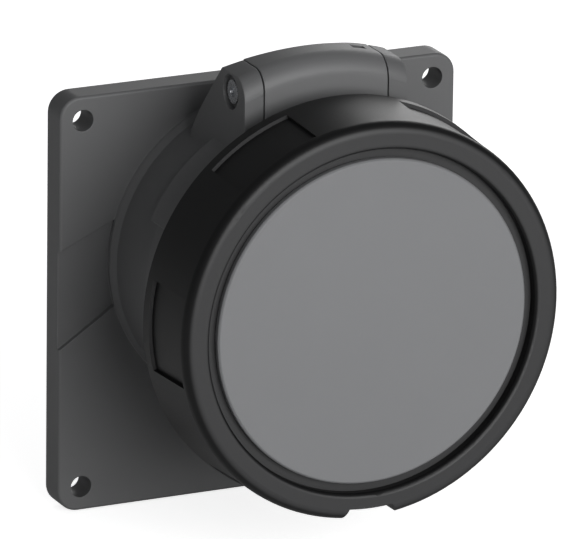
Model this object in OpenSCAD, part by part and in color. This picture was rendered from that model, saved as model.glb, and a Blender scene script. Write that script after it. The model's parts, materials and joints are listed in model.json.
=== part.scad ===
// Panel socket with a square flange, a hinged lid and a turning bayonet ring.
// Frame: the origin is the middle of the four fixing holes on the back of the flange.
// +X is right, +Y goes into the panel, +Z is up, and the socket faces -Y.
// Inside front() the plane is the same X and Z, measured from the socket axis,
// and h is the height in front of the flange's front face.

/* [Flange] */
// Side of the square flange
flange_w = 130; // [128:1:150]
// Thickness of the flange
flange_t = 9.6; // [9:0.2:14]
// Radius of the flange's corners
flange_r = 6.5; // [3:0.5:12]
// Chamfer round the front of the flange
flange_chamfer = 0.6; // [0.3:0.1:1.2]
// Pitch of the four fixing holes, each way
hole_pitch = 115; // [112:1:116]
// Diameter of a fixing hole
hole_d = 6.5; // [4.5:0.1:8]
// Height of the socket axis above the middle of the fixing holes
axis_rise = 11.9; // [9:0.1:12.5]
// Thickness of the flange's front skin, which is hollow behind
skin_t = 3.6; // [3:0.1:5]
// Thickness of the rim and ribs behind the flange
rib_t = 3; // [2:0.1:4]
// Depth of the relief band on the left of the flange
relief_d = 1.5; // [0.5:0.1:2]
// Section width of the panel seal
seal_w = 4.4; // [3:0.1:5]
// Thickness of the panel seal
seal_t = 1.6; // [1:0.1:2.4]

/* [Collar] */
// Radius of the collar's foot on the flange
foot_r = 49; // [48.5:0.1:51]
// Height of the foot, with its sloping shoulder
foot_h = 3; // [2:0.1:6]
// Outer radius of the collar
collar_r = 47.6; // [46.5:0.1:48.2]
// Outer radius of the collar's front half
rim_r = 50.3; // [49.6:0.1:50.6]
// Height at which the front half begins
rim_h = 28; // [26:0.5:34]
// Outer radius of the saddle that carries the hinge
saddle_r = 51.3; // [50.8:0.1:51.5]
// Height at which the saddle begins
saddle_h = 25; // [20:0.5:27]
// Half of the arc that the saddle covers
saddle_half = 66; // [50:1:80]
// Outer radius of the collar at its mouth
mouth_r = 49.2; // [48:0.1:49.4]
// Height of the mouth
mouth_h = 66; // [64:0.5:66]
// Inner radius of the collar
bore_r = 42.3; // [40:0.1:43]
// Outer radius of the bayonet ramps
ramp_r = 53; // [52.4:0.1:53]
// Thickness of a ramp along the axis
ramp_t = 4; // [3:0.1:4.2]
// Half of the arc that a ramp covers
ramp_half = 9; // [6:0.5:10]
// Radius of the keyway's floor
key_r = 44.6; // [43.6:0.1:45.4]
// Width of the keyway
key_w = 9; // [6:0.5:12]

/* [Hinge] */
// Height of the hinge pin in front of the flange
pin_h = 36.5; // [36:0.1:37.5]
// Distance of the hinge pin above the socket axis
pin_y = 61.2; // [60.8:0.1:62]
// Radius of the hinge pin
pin_r = 2.5; // [2:0.1:3]
// Radius of the pin's head
pin_head_r = 3.6; // [3.2:0.1:4.2]
// Outer radius of the arched top of the hinge
arch_r = 72.1; // [71.6:0.1:73]
// Height of the hinge's front face
arch_h = 46.8; // [46.4:0.1:48]
// Rounding along the front edge of the arch
arch_round = 6.3; // [4:0.1:7]
// Width of the lid's knuckle
knuckle_w = 40; // [36:0.5:41]
// Side gap between the knuckle and an ear
ear_gap = 0.3; // [0.2:0.05:0.5]
// Thickness of an ear
ear_t = 6.2; // [5:0.1:7]
// Radius of the recess round each pin end
pin_recess_r = 5.2; // [4.8:0.1:5.6]
// Depth of that recess
pin_recess_d = 1.9; // [1.4:0.1:2.4]
// Radius of the knuckle's barrel
barrel_r = 9.2; // [8.6:0.1:9.2]
// Radius of the chamber for the spring
chamber_r = 6.6; // [6:0.1:6.8]
// Length of the chamber for the spring
chamber_w = 33; // [28:0.5:34]
// Radius of the spring's wire
wire_r = 0.8; // [0.5:0.05:1]
// Turns of the spring
coil_turns = 11; // [6:1:12]

/* [Lid] */
// Height of the lid plate's back
lid_h = 69.3; // [68.5:0.1:70]
// Thickness of the lid plate
lid_t = 3; // [2.4:0.1:3.4]
// Radius of the lid plate
lid_r = 54.2; // [53:0.1:54.6]
// Height of the shoulder that the ring turns on
lid_step_h = 75; // [74:0.1:75.5]
// Outer radius of the hub inside the ring
hub_r = 48; // [46:0.1:48.5]
// Wall of the hub
hub_t = 3.5; // [3:0.1:4]
// Outer radius of the arm from the lid to its knuckle
arm_r = 55; // [54.4:0.1:55.2]
// Thickness of the arm
arm_t = 2.7; // [2:0.1:3]
// Radius of the disc cap
cap_r = 49.9; // [49:0.1:51]
// Thickness of the disc cap at its edge
cap_t = 2.4; // [2:0.1:3.5]
// Height of the cap's shallow cone
cap_cone = 0.9; // [0.3:0.1:1.5]
// Width of the flat border round that cone
cap_border = 7.1; // [3:0.1:12]
// Width of the lid gasket
gasket_w = 8.4; // [6:0.1:9]
// Thickness of the lid gasket
gasket_t = 4.2; // [3.8:0.1:4.6]
// Radius of the circle of cap screws
cap_screw_pcr = 30; // [20:1:36]
// Radius of a cap screw's thread
cap_screw_r = 2; // [1.5:0.1:2.5]

/* [Ring] */
// Outer radius of the ring at its back edge
ring_back_r = 62.2; // [61.6:0.1:63]
// Outer radius of the ring at its front edge
ring_front_r = 61; // [60.5:0.1:61.4]
// Height of the ring's back edge
ring_back_h = 54.2; // [52:0.1:55.5]
// Height of the ring's front face
ring_front_h = 81.6; // [81:0.1:82.5]
// Rounding of the ring's front edge
ring_round = 3.3; // [2:0.1:3.5]
// Inner radius of the ring
ring_bore_r = 55.6; // [55.5:0.1:56.2]
// Inner radius of the ring round the cap
ring_well_r = 52.8; // [52:0.1:53.6]
// Rounding of the edge of that well
well_round = 1.5; // [0.6:0.1:2]
// Inner radius of the web that the lid holds
web_r = 48.4; // [48.3:0.1:49]
// Running gap on each side of the web
web_gap = 0.3; // [0.2:0.05:0.4]
// Number of finger recesses
grip_n = 6; // [4:1:8]
// Half of the arc that a finger recess covers
grip_half = 13; // [8:0.5:16]
// Depth of a finger recess
grip_d = 1.1; // [0.4:0.1:1.4]
// Width of the lip behind the finger recesses
grip_lip = 4; // [2:0.1:6]
// Radius of the floor of the position notch
notch_r = 57.5; // [57.2:0.1:59]
// Half of the arc of the notch's floor
notch_half = 7; // [4:0.5:9]
// Inner radius of the ring's bayonet lugs
lug_r = 51.8; // [51.7:0.1:52.2]
// Half of the arc that a lug covers
lug_half = 7; // [5:0.5:8]
// Turn of the ring from released to locked
ring_turn = 30; // [24:1:32]

/* [Contacts] */
// Radius of the contact carrier
core_r = 35.5; // [34:0.1:36]
// Height of the carrier's front face
core_h = 60; // [56:0.5:62]
// Radius of the contact circle
contact_pcr = 24; // [23.4:0.1:24.6]
// Inner radius of a line or neutral contact
line_r = 5.1; // [4.6:0.1:5.3]
// Inner radius of the earth contact
earth_r = 6.1; // [5.6:0.1:6.2]
// Inner radius of the pilot contact
pilot_r = 3.1; // [2.6:0.1:3.3]
// Wall of a contact sleeve
sleeve_t = 2; // [1.5:0.1:2.2]
// Depth of the contact openings in front of the sleeves
sleeve_sink = 4; // [2:0.5:6]
// Length of a contact sleeve's bore
sleeve_bore = 38; // [30:1:42]
// Depth of the rear cover's back behind the flange's front face
core_depth = 40; // [36:1:46]
// Radius of the carrier's fixing flange
core_flange_r = 44; // [43.8:0.1:44.4]
// Step from a contact's sleeve out to its terminal block
terminal_step = 1.1; // [0.6:0.1:1.4]
// Radius of the wire hole in a terminal
wire_hole_r = 5; // [4:0.1:5.4]
// Radius of a terminal screw
terminal_screw_r = 3; // [2.5:0.1:3.4]
// Radius of a carrier screw's thread
core_screw_r = 2; // [1.5:0.1:2.5]
// Thickness of the rear cover
cover_t = 6; // [4:0.5:8]

/* [Hidden] */
$fn = 96;
fit = 0.05;
run_fit = 0.1;
free_gap = 0.3;
eps = 0.01;
over = 1;
ear_x = knuckle_w / 2 + ear_gap;
ear_out = ear_x + ear_t;
shelf_h = 4;
pocket_h = -2.6;
insert_back = pocket_h + 1.4;
core_bore_r = core_r + free_gap;
core_flange_t = 6;
collar_base = -flange_t;
seal_in_r = core_flange_r + 3;
back_wall_r = seal_in_r + seal_w + rib_t;
boss_r = hole_d / 2 + 3.4;
ramp_h = mouth_h - 0.5 - ramp_t;
lug_h = ramp_h - free_gap - 4;
lug_t = 4;
lug_at = [35, 155, 275];
hub_in_r = hub_r - hub_t;
web_back_h = lid_step_h + web_gap;
cap_h = lid_h + 9.1;
web_front_h = cap_h - web_gap;
gasket_in = 1.2;
gasket_mid_r = (bore_r + mouth_r) / 2 - 0.9;
oring_r = hub_r - hub_t / 2;
oring_w = 1.4;
oring_t = 1.2;
cap_boss_r = cap_screw_r + 2.6;
cap_screw_depth = 3.4;
terminal_front = -12;
contact_step = 360 / 5;
screw_pcr = (core_bore_r + core_flange_r) / 2;
cover_h = -core_depth;
core_back = cover_h + cover_t;
screw_hs = [core_back + 6, core_back + 14];
wire_depth = 17;
slit_w = 1;
lead_r = 0.4;
pilot_wire_r = 2;
core_head_r = 3.5;
core_head_sink = 2.6;
hex_r = 1.3;
cover_screw_r = 1.7;
cover_screw_at = [90, 234, 306];
cover_pcr = 29;
coil_r = pin_r + wire_r + 0.2;
coil_pitch = 2 * wire_r + 1.1;
coil_w = coil_turns * coil_pitch;
leg_x = coil_w / 2;
leg_slot_w = 4.4;
leg_drop = pin_y - sqrt(pow(saddle_r, 2) - pow(leg_x - wire_r, 2));
head_t = 1.2;

// Turns the drawing plane so that its height points out of the flange
module front() {
  translate([0, -flange_t, axis_rise]) rotate([90, 0, 0]) children();
}

// A ring of rectangular section between two heights
module tube(r_in, r_out, h0, h1) {
  difference() {
    translate([0, 0, h0]) cylinder(r = r_out, h = h1 - h0);
    translate([0, 0, h0 - over]) cylinder(r = r_in, h = h1 - h0 + 2 * over);
  }
}

// A sector of that ring, centred on an angle
module sector(r_in, r_out, h0, h1, middle, half) {
  rotate([0, 0, middle - half])
    rotate_extrude(angle = 2 * half)
      translate([r_in, h0]) square([r_out - r_in, h1 - h0]);
}

// A plate of the (h, y) outline given, from one x to another
module side_plate(x0, x1) {
  translate([x1, 0, 0]) rotate([0, -90, 0]) linear_extrude(x1 - x0) children();
}

// A bar along X at the hinge's place
module hinge_bar(r, x0, x1) {
  translate([x0, pin_y, pin_h]) rotate([0, 90, 0]) cylinder(r = r, h = x1 - x0);
}

// Places things round the socket axis
module around(angle, r) {
  rotate([0, 0, angle]) translate([r, 0, 0]) children();
}

// Places things at the four fixing holes, seen from the socket axis
module at_holes() {
  for (x = [-1, 1], y = [-1, 1])
    translate([x * hole_pitch / 2, y * hole_pitch / 2 - axis_rise, 0]) children();
}

// ---- flange housing ----

module rounded_square(w, r) {
  translate([-w / 2 + r, -w / 2]) square([w - 2 * r, w]);
  translate([-w / 2, -w / 2 + r]) square([w, w - 2 * r]);
  for (x = [-1, 1], y = [-1, 1]) translate([x * (w / 2 - r), y * (w / 2 - r)]) circle(r = r);
}

// A bar of the flange's section that runs between two corners
module slab_bar() {
  w = flange_w / 2;
  c = flange_chamfer;
  rotate([90, 0, 0]) translate([0, 0, flange_r - w]) linear_extrude(flange_w - 2 * flange_r)
    polygon([[-w, -flange_t], [w, -flange_t], [w, -c], [w - c, 0], [c - w, 0], [-w, -c]]);
}

module flange_slab() {
  m = flange_w / 2 - flange_r;
  translate([0, -axis_rise, 0]) {
    slab_bar();
    rotate([0, 0, 90]) slab_bar();
    for (x = [-m, m], y = [-m, m]) translate([x, y, 0]) {
      translate([0, 0, -flange_t]) cylinder(r = flange_r, h = flange_t - flange_chamfer);
      translate([0, 0, -flange_chamfer])
        cylinder(r1 = flange_r, r2 = flange_r - flange_chamfer, h = flange_chamfer);
    }
  }
}

// The hollow behind the flange, round the rim, the seal's wall and the ribs
module flange_hollow() {
  difference() {
    translate([0, -axis_rise, -flange_t - over])
      linear_extrude(flange_t - skin_t + over) rounded_square(flange_w - 2 * rib_t, flange_r - rib_t / 2);
    translate([0, 0, -flange_t - 2 * over]) cylinder(r = back_wall_r, h = flange_t + 2 * over);
    at_holes() translate([0, 0, -flange_t - 2 * over]) cylinder(r = boss_r, h = flange_t + 2 * over);
    for (a = [-45, -135, -90, 0, 180])
      rotate([0, 0, a]) translate([0, -rib_t / 2, -flange_t - 2 * over])
        cube([flange_w, rib_t, flange_t + 2 * over]);
  }
}

// The relief band ends in two slanting steps on the left
module relief_band() {
  left = -flange_w / 2 - over;
  translate([0, 0, -relief_d]) linear_extrude(relief_d + over)
    polygon([[left, 4.8], [-44, 14.9], [-44, -11.5], [left, -26.1]]);
}

// The outline of the collar and its foot, from the axis outwards
module collar_outline() {
  translate([0, -flange_t]) square([foot_r - 0.3, flange_t + 0.6]);
  polygon([[0, 0], [foot_r, 0], [foot_r, 0.7], [collar_r, foot_h], [0, foot_h]]);
  square([collar_r, mouth_h]);
  polygon([[0, rim_h], [collar_r, rim_h], [rim_r, rim_h + 1.2], [rim_r, 50], [mouth_r, 51.5],
           [mouth_r, mouth_h - 0.8], [mouth_r - 0.8, mouth_h], [0, mouth_h]]);
}

// An ear's side outline in height and distance from the axis
module ear_outline() {
  polygon([[8.5, 30], [8.5, 41.5], [14.9, 50.1], [29.4, 66.2], [35.5, 73], [arch_h, 73],
           [arch_h, 40], [30, 30]]);
}

// The arched hull that the ears and the knuckle are cut from
module arch_form() {
  rotate_extrude() {
    square([arch_r - arch_round, arch_h]);
    square([arch_r, arch_h - arch_round]);
    translate([arch_r - arch_round, arch_h - arch_round]) circle(r = arch_round);
  }
}

module ears() {
  intersection() {
    union() {
      for (s = [-1, 1])
        side_plate(s > 0 ? ear_x : -ear_out, s > 0 ? ear_out : -ear_x) ear_outline();
    }
    arch_form();
  }
}

// A bayonet ramp with its run-in end cut back
module ramp(angle) {
  difference() {
    sector(mouth_r - over, ramp_r, ramp_h, ramp_h + ramp_t, angle, ramp_half);
    around(angle + ramp_half, mouth_r)
      translate([0, 0, ramp_h]) rotate([16, 0, 0]) translate([-2, -6, -6]) cube([8, 12, 6]);
  }
}

module flange_housing() {
  color([0.33, 0.34, 0.35]) front() difference() {
    union() {
      difference() {
        flange_slab();
        flange_hollow();
        relief_band();
      }
      rotate_extrude() collar_outline();
      sector(collar_r - over, saddle_r, saddle_h, 50, 90, saddle_half);
      ears();
      for (a = lug_at) ramp(a - ring_turn);
    }
    // socket bore, shelf and rear pocket
    translate([0, 0, shelf_h]) cylinder(r = bore_r, h = mouth_h);
    translate([0, 0, -flange_t - over]) cylinder(r = core_bore_r, h = mouth_h);
    translate([0, 0, -flange_t - over])
      cylinder(r = core_flange_r + free_gap, h = flange_t + pocket_h + over);
    // keyway
    rotate([0, 0, -90]) translate([bore_r - over, -key_w / 2, shelf_h])
      cube([key_r - bore_r + over, key_w, mouth_h]);
    // seal groove
    tube(seal_in_r, seal_in_r + seal_w, -flange_t - over, -flange_t + seal_t);
    // fixing holes
    at_holes() translate([0, 0, -flange_t - over]) cylinder(d = hole_d, h = flange_t + 2 * over);
    // hinge pin and the recesses at its ends
    hinge_bar(pin_r + fit, -ear_out - over, ear_out + over);
    hinge_bar(pin_recess_r, -ear_out - over, -ear_out + pin_recess_d);
    hinge_bar(pin_recess_r, ear_out - pin_recess_d, ear_out + over);
    // blind holes for the carrier screws
    for (a = [45:90:315]) around(a, screw_pcr)
      translate([0, 0, pocket_h - over]) cylinder(r = core_screw_r, h = 4.5 + over, $fn = 48);
  }
}

module panel_seal() {
  color([0.09, 0.09, 0.1]) front() tube(seal_in_r, seal_in_r + seal_w, -flange_t, -flange_t + seal_t);
}

// ---- contacts and their carrier ----

function contact_angle(i) = 270 + i * contact_step;

// Inner radius of contact i: earth, three lines, neutral
function contact_in_r(i) = i == 0 ? earth_r : line_r;

// A contact: a slit sleeve in front and a thicker terminal block behind
module contact(r_in, r_wire) {
  top = core_h - sleeve_sink;
  foot = top - sleeve_bore;
  difference() {
    union() {
      translate([0, 0, terminal_front - over]) cylinder(r = r_in + sleeve_t, h = top - terminal_front + over);
      translate([0, 0, core_back]) cylinder(r = r_in + sleeve_t + terminal_step, h = terminal_front - core_back);
    }
    translate([0, 0, foot]) cylinder(r = r_in, h = sleeve_bore + over);
    translate([-slit_w / 2, -core_r, foot + 6]) cube([slit_w, 2 * core_r, sleeve_bore]);
    translate([0, 0, core_back - over]) cylinder(r = r_wire, h = wire_depth + over, $fn = 48);
  }
}

// The stepped hole in the carrier that takes such a contact from behind
module contact_hole(r_in) {
  $fn = 64;
  top = core_h - sleeve_sink;
  translate([0, 0, core_back - over])
    cylinder(r = r_in + sleeve_t + terminal_step + fit, h = terminal_front - core_back + over);
  translate([0, 0, terminal_front - over]) cylinder(r = r_in + sleeve_t + fit, h = top - terminal_front + over);
  translate([0, 0, top - over]) cylinder(r = r_in + lead_r, h = sleeve_sink + 2 * over);
}

module contact_holes() {
  for (i = [0:4]) around(contact_angle(i), contact_pcr) contact_hole(contact_in_r(i));
  contact_hole(pilot_r);
}

// The front block, with the openings for the plug's pins
module contact_insert() {
  color([0.12, 0.12, 0.13]) front() difference() {
    union() {
      translate([0, 0, insert_back]) cylinder(r = core_r, h = core_h - insert_back - 1);
      translate([0, 0, core_h - 1]) cylinder(r1 = core_r, r2 = core_r - 1, h = 1);
    }
    contact_holes();
  }
}

// The rear block, screwed to the housing, with the terminals
module contact_carrier() {
  color([0.14, 0.14, 0.15]) front() difference() {
    union() {
      translate([0, 0, core_back]) cylinder(r = core_r, h = pocket_h - core_back);
      translate([0, 0, pocket_h - core_flange_t]) cylinder(r = core_flange_r, h = core_flange_t);
    }
    contact_holes();
    for (i = [0:4], h = screw_hs) around(contact_angle(i), contact_pcr + 4) translate([0, 0, h])
      rotate([0, 90, 0]) cylinder(r = terminal_screw_r + 0.5, h = core_r, $fn = 32);
    for (a = [45:90:315]) around(a, screw_pcr) translate([0, 0, pocket_h - core_flange_t - over]) {
      cylinder(r = core_screw_r + free_gap, h = core_flange_t + 2 * over, $fn = 32);
      cylinder(r = core_head_r + free_gap, h = core_head_sink + over, $fn = 32);
    }
    for (a = cover_screw_at) around(a, cover_pcr) translate([0, 0, core_back - over])
      cylinder(r = cover_screw_r, h = 8 + over, $fn = 32);
  }
}

module contact_at(i) {
  color([0.78, 0.62, 0.32]) front() around(contact_angle(i), contact_pcr) difference() {
    contact(contact_in_r(i), wire_hole_r);
    for (h = screw_hs) translate([0, 0, h]) rotate([0, 90, 0])
      cylinder(r = terminal_screw_r, h = core_r, $fn = 48);
  }
}

module contact_earth() { contact_at(0); }
module contact_line_1() { contact_at(1); }
module contact_line_2() { contact_at(2); }
module contact_line_3() { contact_at(3); }
module contact_neutral() { contact_at(4); }

module contact_pilot() {
  color([0.78, 0.62, 0.32]) front() contact(pilot_r, pilot_wire_r);
}

module terminal_screws() {
  color([0.7, 0.71, 0.72]) front()
    for (i = [0:4], h = screw_hs) rotate([0, 0, contact_angle(i)])
      translate([contact_pcr + wire_hole_r, 0, h]) rotate([0, 90, 0]) difference() {
        cylinder(r = terminal_screw_r - fit, h = 5, $fn = 48);
        translate([0, 0, 3]) cylinder(r = hex_r, h = 3, $fn = 6);
      }
}

module carrier_screws() {
  head_h = pocket_h - core_flange_t + core_head_sink;
  color([0.7, 0.71, 0.72]) front()
    for (a = [45:90:315]) around(a, screw_pcr) translate([0, 0, head_h]) difference() {
      union() {
        cylinder(r = core_screw_r - fit, h = 7.2, $fn = 48);
        translate([0, 0, -2.2]) cylinder(r = core_head_r, h = 2.2, $fn = 48);
      }
      translate([0, 0, -2.2 - over]) cylinder(r = hex_r, h = 1.4 + over, $fn = 6);
    }
}

module rear_cover() {
  color([0.2, 0.2, 0.21]) front() difference() {
    union() {
      translate([0, 0, cover_h + 1]) cylinder(r = core_r, h = cover_t - 1);
      translate([0, 0, cover_h]) cylinder(r1 = core_r - 1, r2 = core_r, h = 1);
    }
    for (i = [0:4]) around(contact_angle(i), contact_pcr) translate([0, 0, cover_h - over])
      cylinder(r = wire_hole_r, h = cover_t + 2 * over, $fn = 48);
    translate([0, 0, cover_h - over]) cylinder(r = pilot_wire_r, h = cover_t + 2 * over, $fn = 48);
    for (a = cover_screw_at) around(a, cover_pcr) translate([0, 0, cover_h - over]) {
      cylinder(r = cover_screw_r + free_gap, h = cover_t + 2 * over, $fn = 48);
      cylinder(r = 2 * cover_screw_r + free_gap, h = 2.2 + over, $fn = 48);
    }
  }
}

module cover_screws() {
  color([0.7, 0.71, 0.72]) front()
    for (a = cover_screw_at) around(a, cover_pcr) translate([0, 0, cover_h + 2.2]) difference() {
      union() {
        cylinder(r = cover_screw_r - fit, h = 10, $fn = 48);
        translate([0, 0, -2]) cylinder(r = 2 * cover_screw_r, h = 2, $fn = 48);
      }
      translate([0, 0, -2 - over]) cylinder(r = 1.1, h = 1.2 + over, $fn = 6);
    }
}

// ---- hinge ----

module hinge_pin() {
  color([0.82, 0.83, 0.85]) front() difference() {
    union() {
      hinge_bar(pin_r, -ear_out + pin_recess_d - eps, ear_out - 0.3);
      hinge_bar(pin_head_r, -ear_out + pin_recess_d - head_t, -ear_out + pin_recess_d);
    }
    hinge_bar(1.5, -ear_out - over, -ear_out + pin_recess_d - head_t + 0.8);
  }
}

module pin_clip() {
  color([0.6, 0.61, 0.63]) front() difference() {
    hinge_bar(pin_recess_r - 0.7, ear_out - pin_recess_d, ear_out - pin_recess_d + 0.6);
    hinge_bar(pin_r, 0, ear_out + over);
  }
}

// Point k of n round the wire's section at angle a of the coil
function coil_point(a, k, n) =
  let (rr = coil_r + wire_r * cos(360 * k / n), x = coil_pitch * a / 360 + wire_r * sin(360 * k / n))
  [x - coil_w / 2, -rr * sin(a), -rr * cos(a)];

module coil(turns) {
  n = 6;
  per_turn = 16;
  steps = turns * per_turn;
  points = [for (s = [0:steps], k = [0:n - 1]) coil_point(s * 360 / per_turn, k, n)];
  sides = [for (s = [0:steps - 1], k = [0:n - 1])
    [(s + 1) * n + k, (s + 1) * n + (k + 1) % n, s * n + (k + 1) % n, s * n + k]];
  ends = [[for (k = [0:n - 1]) k], [for (k = [n - 1:-1:0]) steps * n + k]];
  polyhedron(points, concat(sides, ends), convexity = 10);
}

// The coil sits round the pin and one leg rests on the saddle
module hinge_spring() {
  color([0.75, 0.76, 0.78]) front() translate([0, pin_y, pin_h]) {
    coil(coil_turns);
    translate([leg_x, 0.4, -coil_r]) rotate([90, 0, 0]) cylinder(r = wire_r, h = leg_drop + 0.4, $fn = 32);
  }
}

// ---- lid ----

// The lid's side outline at the hinge
module knuckle_outline() {
  translate([pin_h, pin_y]) circle(r = barrel_r);
  polygon([[pin_h, pin_y - barrel_r], [arch_h, pin_y - barrel_r], [arch_h, arch_r + over],
           [pin_h - 1.5, arch_r + over], [pin_h - 0.8 * barrel_r, pin_y + 0.6 * barrel_r]]);
}

module lid_plate_outline() {
  translate([0, lid_h]) square([lid_r, lid_t]);
  translate([hub_in_r, lid_h]) square([lid_r - hub_in_r, lid_step_h - lid_h]);
  translate([hub_in_r, lid_h]) square([hub_t, cap_h - lid_h]);
}

module lid_body() {
  color([0.42, 0.43, 0.44]) front() difference() {
    union() {
      rotate_extrude() lid_plate_outline();
      intersection() {
        union() {
          side_plate(-knuckle_w / 2, knuckle_w / 2) knuckle_outline();
          translate([-knuckle_w / 2, 0, pin_h + 3]) cube([knuckle_w, arm_r, lid_step_h - pin_h - 3]);
        }
        union() {
          arch_form();
          translate([0, 0, arch_h - over]) cylinder(r = arm_r, h = lid_step_h - arch_h + over);
        }
        difference() {
          cylinder(r = arch_r + over, h = lid_step_h);
          translate([0, 0, -over]) cylinder(r = arm_r - arm_t, h = lid_step_h + 2 * over);
        }
      }
    }
    // hinge pin, spring chamber and the slots of the spring's legs
    hinge_bar(pin_r + run_fit, -knuckle_w, knuckle_w);
    hinge_bar(chamber_r, -chamber_w / 2, chamber_w / 2);
    translate([leg_x + wire_r + 1.2 - leg_slot_w, pin_y - 13, pin_h - 13]) {
      cube([leg_slot_w, 21.4, 13 - 2.4]);
      cube([leg_slot_w, 10, 13]);
    }
    // assembly slot that the coil is seen through
    translate([leg_x + wire_r + 1.2 - leg_slot_w, pin_y, pin_h - 0.8])
      cube([leg_slot_w, arch_r - pin_y + over, 3]);
    // gasket groove
    tube(gasket_mid_r - gasket_w / 2, gasket_mid_r + gasket_w / 2, lid_h - over, lid_h + gasket_in);
    // groove for the cap seal
    tube(oring_r - oring_w / 2, oring_r + oring_w / 2, cap_h - oring_t, cap_h + over);
    // cap screws
    for (a = [45:90:315]) around(a, cap_screw_pcr) translate([0, 0, lid_h - over])
      cylinder(r = cap_screw_r + 0.2, h = lid_t + 2 * over, $fn = 48);
  }
}

module lid_gasket() {
  color([0.08, 0.08, 0.08]) front() tube(gasket_mid_r - gasket_w / 2, gasket_mid_r + gasket_w / 2,
    lid_h + gasket_in - gasket_t, lid_h + gasket_in);
}

module disc_cap() {
  top = cap_h + cap_t;
  color([0.5, 0.5, 0.52]) front() difference() {
    union() {
      rotate_extrude() polygon([[0, cap_h], [cap_r, cap_h], [cap_r, top - 0.6], [cap_r - 0.6, top],
                                [cap_r - cap_border, top], [0, top + cap_cone]]);
      tube(hub_in_r - 2.4, hub_in_r - 0.2, cap_h - 2, cap_h + eps);
      for (a = [45:90:315]) around(a, cap_screw_pcr)
        translate([0, 0, lid_h + lid_t]) cylinder(r = cap_boss_r, h = cap_h - lid_h - lid_t + eps);
    }
    for (a = [45:90:315]) around(a, cap_screw_pcr)
      translate([0, 0, lid_h + lid_t - over]) cylinder(r = cap_screw_r, h = cap_screw_depth + 1.2 + over, $fn = 48);
  }
}

module cap_seal() {
  color([0.08, 0.08, 0.08]) front() tube(oring_r - oring_w / 2, oring_r + oring_w / 2, cap_h - oring_t, cap_h);
}

module cap_screws() {
  color([0.75, 0.76, 0.78]) front()
    for (a = [45:90:315]) around(a, cap_screw_pcr) difference() {
      union() {
        translate([0, 0, lid_h - eps]) cylinder(r = cap_screw_r - fit, h = lid_t + cap_screw_depth, $fn = 48);
        translate([0, 0, lid_h - 2]) cylinder(r = 2 * cap_screw_r, h = 2, $fn = 48);
      }
      translate([0, 0, lid_h - 3]) cylinder(r = 1.2, h = 2.2, $fn = 6);
    }
}

// ---- locking ring ----

// Outer radius of the ring's tapering wall at a height
function ring_r(h) = ring_back_r
  + (ring_front_r - ring_back_r) * (h - ring_back_h) / (ring_front_h - ring_round - ring_back_h);

module ring_outline() {
  bend_h = ring_front_h - ring_round;
  difference() {
    union() {
      polygon([[web_r, web_back_h], [ring_bore_r, web_back_h], [ring_bore_r, ring_back_h],
               [ring_back_r - 0.5, ring_back_h], [ring_back_r, ring_back_h + 0.5], [ring_front_r, bend_h],
               [ring_front_r - ring_round, ring_front_h], [ring_well_r + well_round, ring_front_h],
               [ring_well_r, ring_front_h - well_round], [ring_well_r, web_front_h], [web_r, web_front_h]]);
      translate([ring_front_r - ring_round, bend_h]) circle(r = ring_round);
      translate([ring_well_r + well_round, ring_front_h - well_round]) circle(r = well_round);
    }
  }
}

module finger_recess(angle) {
  h0 = ring_back_h + grip_lip;
  h1 = ring_front_h - ring_round - 0.4;
  rotate([0, 0, angle - grip_half]) rotate_extrude(angle = 2 * grip_half)
    polygon([[ring_r(h0) - grip_d, h0], [ring_r(h0) + 4, h0], [ring_r(h0) + 4, h1], [ring_r(h1) - grip_d, h1]]);
}

module position_notch() {
  flare = 2.5;
  a = notch_half;
  b = notch_half + flare;
  rotate([0, 0, -90]) translate([0, 0, ring_back_h - over]) linear_extrude(ring_front_h - ring_back_h + 2 * over)
    difference() {
      polygon([[notch_r * cos(a), -notch_r * sin(a)], [65 * cos(b), -65 * sin(b) * 1.02], [70, 0],
               [65 * cos(b), 65 * sin(b) * 1.02], [notch_r * cos(a), notch_r * sin(a)], [50, 0]]);
      circle(r = notch_r);
    }
}

module locking_ring() {
  color([0.07, 0.07, 0.08]) front() difference() {
    union() {
      rotate_extrude() ring_outline();
      for (a = lug_at) sector(lug_r, ring_bore_r + over, lug_h, lug_h + lug_t, a, lug_half);
    }
    for (i = [0:grip_n - 1]) finger_recess(i * 360 / grip_n);
    position_notch();
  }
}

flange_housing();
panel_seal();
contact_insert();
contact_carrier();
rear_cover();
contact_line_1();
contact_line_2();
contact_line_3();
contact_neutral();
contact_earth();
contact_pilot();
terminal_screws();
carrier_screws();
cover_screws();
hinge_pin();
pin_clip();
hinge_spring();
lid_body();
lid_gasket();
disc_cap();
cap_seal();
cap_screws();
locking_ring();
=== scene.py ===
# %% [markdown]
# # A panel socket, dressed for a catalogue view
# The CAD model gives every shape and size of this socket. This lesson puts a camera
# in front of it, lights it softly, gives each piece a finish made of nodes, and breaks
# the sharp edges of the pieces in view.

# %% Load the frame
import json
import math

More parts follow.
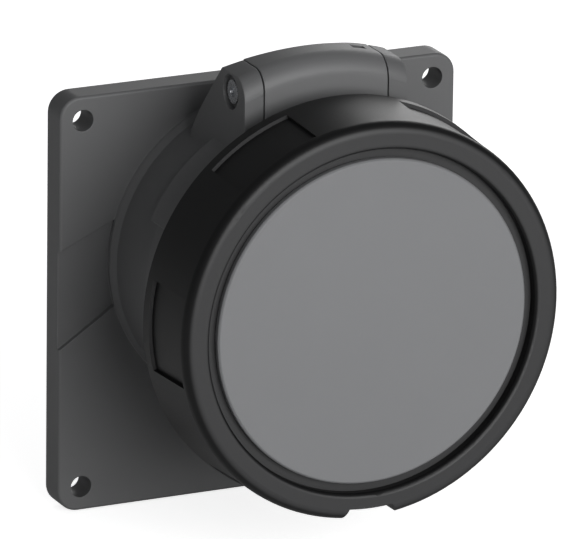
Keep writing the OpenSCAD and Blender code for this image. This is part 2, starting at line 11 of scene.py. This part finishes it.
import bpy
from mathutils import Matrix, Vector


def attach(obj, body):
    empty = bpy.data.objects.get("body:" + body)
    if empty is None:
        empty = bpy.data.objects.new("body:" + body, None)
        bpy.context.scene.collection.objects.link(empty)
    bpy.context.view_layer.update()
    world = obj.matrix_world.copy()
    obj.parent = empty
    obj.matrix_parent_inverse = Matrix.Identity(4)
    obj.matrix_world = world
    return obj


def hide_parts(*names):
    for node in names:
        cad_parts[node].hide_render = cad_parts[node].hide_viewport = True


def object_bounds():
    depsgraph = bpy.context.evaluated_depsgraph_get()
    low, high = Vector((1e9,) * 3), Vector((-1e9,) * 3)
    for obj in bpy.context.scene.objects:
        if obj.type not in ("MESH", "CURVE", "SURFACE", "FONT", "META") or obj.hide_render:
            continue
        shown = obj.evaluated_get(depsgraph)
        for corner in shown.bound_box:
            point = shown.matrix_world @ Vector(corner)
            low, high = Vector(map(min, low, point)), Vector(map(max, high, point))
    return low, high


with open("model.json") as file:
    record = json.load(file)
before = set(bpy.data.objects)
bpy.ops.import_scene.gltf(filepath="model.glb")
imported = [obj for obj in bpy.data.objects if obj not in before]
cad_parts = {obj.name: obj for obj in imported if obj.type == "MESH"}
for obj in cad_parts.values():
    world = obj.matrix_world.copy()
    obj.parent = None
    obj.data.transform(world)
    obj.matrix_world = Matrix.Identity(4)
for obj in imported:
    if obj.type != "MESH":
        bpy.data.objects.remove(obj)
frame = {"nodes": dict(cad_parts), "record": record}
cad_box = [list(corner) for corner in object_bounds()]
nodes = frame["nodes"]
record = frame["record"]
slots = {part["node"]: part["material_slot"] for part in record["subparts"]}
body_of = {node: body for body, names in record["behaviour"]["bodies"].items() for node in names}
print("pieces:", len(nodes), "box in mm:", [[round(1000 * v, 1) for v in c] for c in cad_box])

# %% [markdown]
# ## The camera
# A long lens far away keeps the flange's sides nearly parallel.
# The camera is placed by three angles and a distance from the middle of the flange's
# front face, and its axes are built by hand so that the small roll is exact. It looks
# a little past that middle, to the right and up, so that the whole socket is in view.

# %% Camera
FLANGE_FRONT = Vector((0, -0.0096, 0))
AZIMUTH = math.radians(25.25)
ELEVATION = math.radians(18.03)
ROLL = math.radians(0.770)
DISTANCE = 2.79487
SHIFT_RIGHT, SHIFT_UP = 0.010967, 0.003713
LENS_MM, SENSOR_MM = 569.4, 36

back = Vector((
    -math.sin(AZIMUTH) * math.cos(ELEVATION),
    -math.cos(AZIMUTH) * math.cos(ELEVATION),
    math.sin(ELEVATION),
))
right = Vector((math.cos(AZIMUTH), -math.sin(AZIMUTH), 0))
up = back.cross(right)
cam_right = math.cos(ROLL) * right + math.sin(ROLL) * up
cam_up = math.cos(ROLL) * up - math.sin(ROLL) * right
place = FLANGE_FRONT + SHIFT_RIGHT * cam_right + SHIFT_UP * cam_up + DISTANCE * back

camera_data = bpy.data.cameras.new("camera")
camera_data.lens = LENS_MM
camera_data.sensor_width = SENSOR_MM
camera_data.clip_start, camera_data.clip_end = 0.1, 20
camera = bpy.data.objects.new("camera", camera_data)
bpy.context.scene.collection.objects.link(camera)
matrix = camera.matrix_world.copy()
for column, axis in enumerate((cam_right, cam_up, back, place)):
    for row in range(3):
        matrix[row][column] = axis[row]
camera.matrix_world = matrix
bpy.context.scene.camera = camera
bpy.context.scene.view_settings.view_transform = "Standard"
print("camera at", [round(v, 3) for v in place])

# %% [markdown]
# ## Node helpers
# Every shader below is built from the same few moves: add a node, set its options,
# set its inputs by name or number, and link it on.

# %% Node helpers
def add_node(tree, kind, inputs=None, **options):
    node = tree.nodes.new(kind)
    for name, value in options.items():
        setattr(node, name, value)
    for key, value in (inputs or {}).items():
        node.inputs[key].default_value = value
    return node


def new_paint(name):
    paint = bpy.data.materials.new(name)
    paint.use_nodes = True
    return paint, paint.node_tree, paint.node_tree.nodes["Principled BSDF"]


def seen_straight(tree):
    ray = add_node(tree, "ShaderNodeLightPath")
    seen = add_node(tree, "ShaderNodeMath", operation="MAXIMUM")
    tree.links.new(ray.outputs["Is Camera Ray"], seen.inputs[0])
    tree.links.new(ray.outputs["Is Transmission Ray"], seen.inputs[1])
    return seen.outputs[0]


# %% [markdown]
# ## Sky
# The background is white to the camera, also through glass, while the light that falls
# on the object from all round is dim. Light Path tells the shader which kind of ray asks.

# %% Sky
SKY_COLOUR, SKY_STRENGTH = (0.98, 0.99, 1.0, 1), 0.16
WHITE, WHITE_STRENGTH = (1, 1, 1, 1), 1.0

world = bpy.data.worlds.new("studio_sky")
bpy.context.scene.world = world
world.use_nodes = True
sky = world.node_tree
sky.nodes.clear()
ambient = add_node(sky, "ShaderNodeBackground", {"Color": SKY_COLOUR, "Strength": SKY_STRENGTH})
white = add_node(sky, "ShaderNodeBackground", {"Color": WHITE, "Strength": WHITE_STRENGTH})
choose = add_node(sky, "ShaderNodeMixShader")
sky_out = add_node(sky, "ShaderNodeOutputWorld")
sky.links.new(seen_straight(sky), choose.inputs[0])
sky.links.new(ambient.outputs[0], choose.inputs[1])
sky.links.new(white.outputs[0], choose.inputs[2])
sky.links.new(choose.outputs[0], sky_out.inputs[0])

# %% [markdown]
# ## Floor
# The floor lies just under the socket. It glows only for rays that see it straight, so
# it reads as white paper that keeps the socket's shadow and throws no light up.

# %% Floor
FLOOR_SIZE = 6
FLOOR_GAP = 0.0005
FLOOR_GREY = (0.9, 0.9, 0.9, 1)
FLOOR_GLOW = 0.8

bpy.ops.object.select_all(action="DESELECT")
bpy.ops.mesh.primitive_plane_add(size=FLOOR_SIZE, location=(0, 0, cad_box[0][2] - FLOOR_GAP))
floor = bpy.context.object
floor.name = "floor"
bpy.ops.object.transform_apply(location=True, rotation=True, scale=True)
floor_paint, floor_tree, matt = new_paint("floor_paint")
matt.inputs["Base Color"].default_value = FLOOR_GREY
matt.inputs["Roughness"].default_value = 0.95
matt.inputs["Specular IOR Level"].default_value = 0.0
matt.inputs["Emission Color"].default_value = WHITE
glow = add_node(floor_tree, "ShaderNodeMath", {1: FLOOR_GLOW}, operation="MULTIPLY")
floor_tree.links.new(seen_straight(floor_tree), glow.inputs[0])
floor_tree.links.new(glow.outputs[0], matt.inputs["Emission Strength"])
floor.data.materials.append(floor_paint)

# %% [markdown]
# ## Lamps
# One large soft lamp in front gives the broad light, and a weaker one behind and to the
# right lifts the far edges. Both are discs that are aimed at the middle of the socket.

# %% Lamps
LAMP_AIM = Vector((0, -0.04, 0.01))


def soft_lamp(name, spot, size, power):
    lamp_data = bpy.data.lights.new(name, "AREA")
    lamp_data.shape = "DISK"
    lamp_data.size = size
    lamp_data.energy = power
    lamp = bpy.data.objects.new(name, lamp_data)
    bpy.context.scene.collection.objects.link(lamp)
    lamp.location = spot
    lamp.rotation_euler = (LAMP_AIM - Vector(spot)).to_track_quat("-Z", "Y").to_euler()


soft_lamp("key_lamp", (0.3, -2.3, 0.62), size=2.2, power=54)
soft_lamp("back_lamp", (1.3, 1.5, 0.7), size=1.2, power=10)

# %% [markdown]
# ## Finishes
# Each finish is one Principled shader with a fine bump and a little variation in its
# roughness, on Object coordinates in metres, so the grain keeps its size. The colour
# comes from one of two helpers. Most finishes are mottled: a wide noise makes the colour
# a little lighter and darker.
#
# The locking ring is different. It is black and polished on its outside, and its front
# land, which faces the key lamp, gets a dark grey that is painted sheen: the lamp's
# reflection painted into the colour. The object-space normal tells which way a point
# faces, so it can choose between the black and the painted sheen.

# %% Finish helpers
CLOUD_SCALE, CLOUD_DETAIL = 45.0, 3.0
GRAIN_SCALE, GRAIN_DETAIL = 2600.0, 2.0
GRAIN_HEIGHT = 0.0002
ROUGHNESS_SPREAD = 0.05
# painted sheen: ring faces whose normal Y runs from -0.8 to -0.995 face the key lamp and turn
# lighter
PAINTED_SHEEN_STARTS, PAINTED_SHEEN_FULL = -0.8, -0.995


def noise(tree, spot, scale, detail):
    cloud = add_node(tree, "ShaderNodeTexNoise", {"Scale": scale, "Detail": detail})
    tree.links.new(spot.outputs["Object"], cloud.inputs["Vector"])
    return cloud.outputs["Fac"]


def spread(tree, value, low, high):
    ramp = add_node(tree, "ShaderNodeMapRange", {"To Min": low, "To Max": high})
    tree.links.new(value, ramp.inputs["Value"])
    return ramp.outputs[0]


def mottled(tree, spot, colour, amount):
    cloud = noise(tree, spot, CLOUD_SCALE, CLOUD_DETAIL)
    scale = add_node(tree, "ShaderNodeVectorMath", {0: colour}, operation="SCALE")
    tree.links.new(spread(tree, cloud, 1 - amount, 1 + amount), scale.inputs["Scale"])
    return scale.outputs["Vector"]


# Paints sheen: points facing the front, towards the key lamp, get the lighter painted-sheen
# colour, the rest the black.
def side_or_painted_sheen(tree, spot, side, painted_sheen_colour):
    facing = add_node(tree, "ShaderNodeSeparateXYZ")
    front = add_node(
        tree,
        "ShaderNodeMapRange",
        {"From Min": PAINTED_SHEEN_STARTS, "From Max": PAINTED_SHEEN_FULL},
        interpolation_type="SMOOTHSTEP",
    )
    blend = add_node(
        tree, "ShaderNodeMix", {"A": (*side, 1), "B": (*painted_sheen_colour, 1)}, data_type="RGBA"
    )
    tree.links.new(spot.outputs["Normal"], facing.inputs[0])
    tree.links.new(facing.outputs["Y"], front.inputs["Value"])
    tree.links.new(front.outputs[0], blend.inputs["Factor"])
    return blend.outputs["Result"]


def finish(name, colour, rough, metal=0.0, specular=0.5, bump=0.05, mottle=0.06, painted_sheen_colour=None):
    paint, tree, shader = new_paint(name)
    shader.inputs["Metallic"].default_value = metal
    shader.inputs["Specular IOR Level"].default_value = specular
    spot = add_node(tree, "ShaderNodeTexCoord")
    if painted_sheen_colour:
        tint = side_or_painted_sheen(tree, spot, colour, painted_sheen_colour)
    else:
        tint = mottled(tree, spot, colour, mottle)
    tree.links.new(tint, shader.inputs["Base Color"])
    grain = noise(tree, spot, GRAIN_SCALE, GRAIN_DETAIL)
    gloss = spread(tree, grain, rough - ROUGHNESS_SPREAD, rough + ROUGHNESS_SPREAD)
    tree.links.new(gloss, shader.inputs["Roughness"])
    relief = add_node(tree, "ShaderNodeBump", {"Strength": bump, "Distance": GRAIN_HEIGHT})
    tree.links.new(grain, relief.inputs["Height"])
    tree.links.new(relief.outputs["Normal"], shader.inputs["Normal"])
    return paint


# %% [markdown]
# The flange and the lid are painted castings. The disc is paler and smoother, so its
# colour varies less. The hidden pieces get the finish that such pieces have.

# %% Finishes of this socket
finishes = {
    "housing": finish("grey_casting_paint", (0.118, 0.119, 0.121), 0.52),
    "lid": finish("grey_lid_paint", (0.135, 0.136, 0.138), 0.5),
    "disc": finish(
        "disc_paint", (0.205, 0.207, 0.213), 0.5, specular=0.3, bump=0.02, mottle=0.02
    ),
    "ring": finish(
        "black_ring_plastic_painted_sheen",
        (0.0045, 0.0045, 0.0048),
        0.42,
        specular=0.3,
        # dark grey painted sheen on the front land, where the key lamp reflects
        painted_sheen_colour=(0.042, 0.042, 0.043),
    ),
    "insert": finish("black_insert_plastic", (0.03, 0.03, 0.032), 0.55),
    "cover": finish("grey_cover_plastic", (0.06, 0.06, 0.064), 0.6),
    "rubber": finish("seal_rubber", (0.02, 0.02, 0.02), 0.8),
    "brass": finish("contact_brass", (0.75, 0.56, 0.27), 0.32, metal=1.0),
    "steel": finish("bright_steel", (0.5, 0.51, 0.53), 0.28, metal=1.0),
}

# %% [markdown]
# The record names a material slot for each CAD node, and the slot picks the finish.

# %% Dress the CAD nodes
for name, piece in nodes.items():
    piece.data.materials.clear()
    piece.data.materials.append(finishes[slots[name]])

# %% [markdown]
# ## Softened edges
# A moulding or a casting never has a perfectly sharp edge: each one is broken by a
# fraction of a millimetre and catches a thin line of light. The CAD solids are sharp,
# so the pieces in view are copied and their loose triangles are merged and joined into
# flat faces. The edges that are sharper than a limit get a bevel weight, and a Bevel
# modifier breaks those. Weighted normals then keep the large faces flat to the light.

# %% Edge helper
MERGE_DISTANCE = 0.000004
FLAT_ANGLE = math.radians(0.4)
SHARP_ANGLE = math.radians(28)
SMOOTH_ANGLE = math.radians(24)
BEVEL_SEGMENTS = 2
FACE_WEIGHT = 100


def merge_and_pick_edges(piece, join_flats):
    bpy.ops.object.select_all(action="DESELECT")
    bpy.context.view_layer.objects.active = piece
    piece.select_set(True)
    bpy.ops.mesh.customdata_custom_splitnormals_clear()
    bpy.ops.object.mode_set(mode="EDIT")
    bpy.ops.mesh.select_all(action="SELECT")
    bpy.ops.mesh.remove_doubles(threshold=MERGE_DISTANCE)
    if join_flats:
        bpy.ops.mesh.dissolve_limited(angle_limit=FLAT_ANGLE)
    bpy.ops.mesh.select_mode(type="EDGE")
    bpy.ops.mesh.select_all(action="DESELECT")
    bpy.ops.mesh.edges_select_sharp(sharpness=SHARP_ANGLE)
    bpy.ops.object.mode_set(mode="OBJECT")


def break_picked_edges(piece, radius, left_sharp):
    points = piece.data.vertices
    weights = piece.data.attributes.new("bevel_weight_edge", "FLOAT", "EDGE")
    for edge in piece.data.edges:
        edge_middle = (points[edge.vertices[0]].co + points[edge.vertices[1]].co) / 2
        broken = edge.select and not (left_sharp and left_sharp(edge_middle))
        weights.data[edge.index].value = 1.0 if broken else 0.0
    bevel = piece.modifiers.new("broken_edges", "BEVEL")
    bevel.width = radius
    bevel.segments = BEVEL_SEGMENTS
    bevel.limit_method = "WEIGHT"
    bevel.use_clamp_overlap = False
    bpy.ops.object.modifier_apply(modifier="broken_edges")


def soften(node, name, radius, join_flats=True, left_sharp=None):
    piece = bpy.data.objects.new(name, nodes[node].data.copy())
    bpy.context.scene.collection.objects.link(piece)
    merge_and_pick_edges(piece, join_flats)
    break_picked_edges(piece, radius, left_sharp)
    bpy.ops.object.shade_smooth_by_angle(angle=SMOOTH_ANGLE)
    flat = piece.modifiers.new("flat_faces", "WEIGHTED_NORMAL")
    flat.keep_sharp = True
    flat.weight = FACE_WEIGHT
    bpy.ops.object.modifier_apply(modifier="flat_faces")
    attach(piece, body_of[node])
    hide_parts(node)
    print(name, "faces:", len(piece.data.polygons))


# %% [markdown]
# The spring's leg passes through a slot in the lid's knuckle. The wall beside that slot
# is partly a strip narrower than two bevels, and bevels that meet there would cross, so
# the edges near the slot stay as the CAD model has them. The facets of the disc's very
# shallow cone are not joined, since together they are not quite flat.

# %% Soften the pieces in view
SPRING_SLOT_X = (0.0115, 0.0171)


def near_spring_slot(point):
    return SPRING_SLOT_X[0] < point.x < SPRING_SLOT_X[1]


soften("flange_housing", "flange_casting", 0.00035)
soften("lid_body", "lid_casting", 0.0003, left_sharp=near_spring_slot)
soften("hinge_pin", "pin_turned", 0.00015)
soften("disc_cap", "disc_moulding", 0.0002, join_flats=False)
